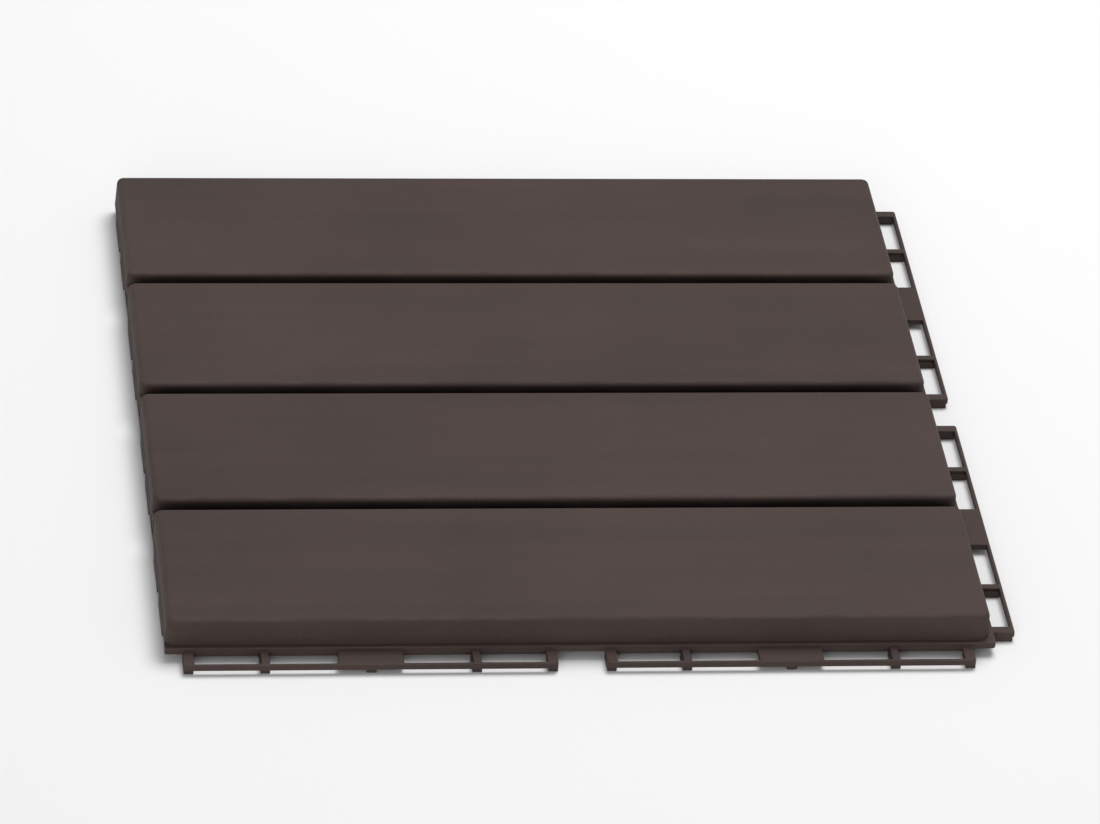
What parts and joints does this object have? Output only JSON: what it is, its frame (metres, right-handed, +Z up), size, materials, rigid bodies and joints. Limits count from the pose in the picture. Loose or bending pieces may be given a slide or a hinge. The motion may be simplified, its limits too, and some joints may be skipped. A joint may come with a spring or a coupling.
{
  "type": "interlocking deck tile",
  "caption": "Square plastic deck tile: rounded slats over a ribbed underside, slotted rails on two sides and hanging tabs on the other two, so that tiles click together.",
  "frame": {"origin": "on the ground under the centre of the tile's 300 mm pitch square, at the middle foot's flat underside", "axes": "+Z up; +X along the slats towards a side with rails; +Y across the slats towards a side with tabs; the other two rails stand out at -Y, the other tabs hang at -X"},
  "size_m": [0.3055, 0.3055, 0.016],
  "materials": {
    "brown_plastic": "dull fine-grained moulded plastic, dark brown"
  },
  "bodies": {
    "root": {"tile": "brown_plastic"}
  },
  "joints": []
}
